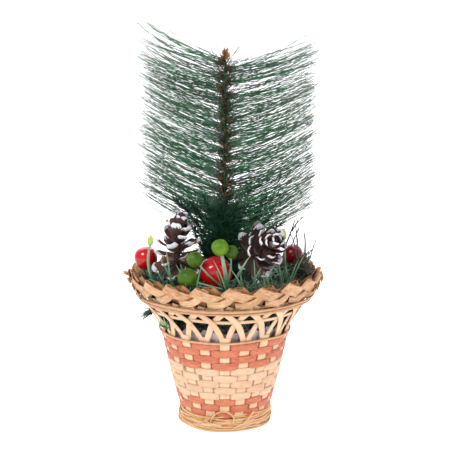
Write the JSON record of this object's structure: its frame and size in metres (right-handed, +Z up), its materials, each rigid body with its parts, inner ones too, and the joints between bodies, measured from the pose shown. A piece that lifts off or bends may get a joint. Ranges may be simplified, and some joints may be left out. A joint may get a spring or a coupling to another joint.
{
  "type": "artificial tabletop tree",
  "caption": "Flat spray of long pine needles on a wire stem, set with cones, berries and balls in a flared woven splint basket with a plaited rim.",
  "frame": {"origin": "middle of the foot ring on the table", "axes": "+Z up along the tree's stem, -Y towards the front with the berries"},
  "size_m": [0.1301, 0.1293, 0.2617],
  "materials": {
    "natural_splint": "bare split bamboo, dry and matt",
    "pink_splint": "split bamboo dyed coral pink, uneven",
    "liner_film": "crinkled grey film",
    "dry_foam": "fine dry floral foam, matt",
    "garland_green": "cut PVC film needles, dark green",
    "pine_green": "long plastic needles, green with paler tips",
    "stem_wire": "twisted wire in green paper tape",
    "bark_brown": "curled brown film bits, like bark",
    "cone_brown": "real pine cone scales, tips brushed white",
    "berry_red": "high-gloss red lacquer",
    "ball_green": "satin lime green",
    "bud_yellow": "soft yellow green",
    "blade_green": "ribbed plastic grass, slightly translucent"
  },
  "bodies": {
    "basket": {"stake_cage": "natural_splint", "weaver_row_01": "pink_splint", "weaver_row_02": "pink_splint", "weaver_row_03": "pink_splint", "weaver_row_04": "natural_splint", "weaver_row_05": "natural_splint", "weaver_row_06": "natural_splint", "weaver_row_07": "natural_splint", "weaver_row_08": "natural_splint", "weaver_row_09": "pink_splint", "weaver_row_10": "pink_splint", "weaver_row_11": "pink_splint", "weaver_row_12": "pink_splint", "waist_hoop": "natural_splint", "lattice_hoop": "natural_splint", "rim_hoop_inner": "natural_splint", "rim_hoop_outer": "natural_splint", "rim_plait_strand_1": "natural_splint", "rim_plait_strand_2": "natural_splint", "rim_plait_strand_3": "natural_splint", "foot_ring": "natural_splint", "foot_twine": "natural_splint", "basket_liner": "liner_film", "foam_block": "dry_foam", "garland_outer_loop": "garland_green", "garland_inner_loop": "garland_green", "left_bud_blade": "blade_green", "left_bud": "bud_yellow", "right_bud_blade": "blade_green", "right_bud": "bud_yellow", "front_grass_tuft": "blade_green", "left_grass_tuft": "blade_green", "right_grass_tuft": "blade_green"},
    "pine_spray": {"pine_stem": "stem_wire", "needle_spray": "pine_green", "tip_bud": "bark_brown", "needle_skirt": "garland_green"},
    "left_cone_pick": {"left_cone": "cone_brown", "left_cone_wire": "stem_wire"},
    "right_cone_pick": {"right_cone": "cone_brown", "right_cone_wire": "stem_wire"},
    "left_berry_pick": {"left_berry": "berry_red", "left_berry_wire": "stem_wire"},
    "right_berry_pick": {"right_berry": "berry_red", "right_berry_wire": "stem_wire"},
    "front_pick": {"front_pick_stem": "stem_wire", "front_berry": "berry_red", "side_ball": "ball_green", "low_ball": "ball_green", "back_ball": "ball_green", "top_ball": "ball_green"}
  },
  "joints": [
    {"name": "pine_spray_pull", "type": "slide", "parent": "basket", "child": "pine_spray", "axis": [0, 0, 1], "range_m": [0, 0.05]},
    {"name": "left_cone_pick_pull", "type": "slide", "parent": "basket", "child": "left_cone_pick", "axis": [-0.3408, -0.2299, 0.9116], "range_m": [0, 0.026]},
    {"name": "right_cone_pick_pull", "type": "slide", "parent": "basket", "child": "right_cone_pick", "axis": [0.1224, -0.232, 0.965], "range_m": [0, 0.026]},
    {"name": "left_berry_pick_pull", "type": "slide", "parent": "basket", "child": "left_berry_pick", "axis": [-0.4233, -0.0268, 0.9056], "range_m": [0, 0.026]},
    {"name": "right_berry_pick_pull", "type": "slide", "parent": "basket", "child": "right_berry_pick", "axis": [0.3277, 0.042, 0.9439], "range_m": [0, 0.026]},
    {"name": "front_pick_pull", "type": "slide", "parent": "basket", "child": "front_pick", "axis": [0.0039, -0.5591, 0.8291], "range_m": [0, 0.026]}
  ]
}
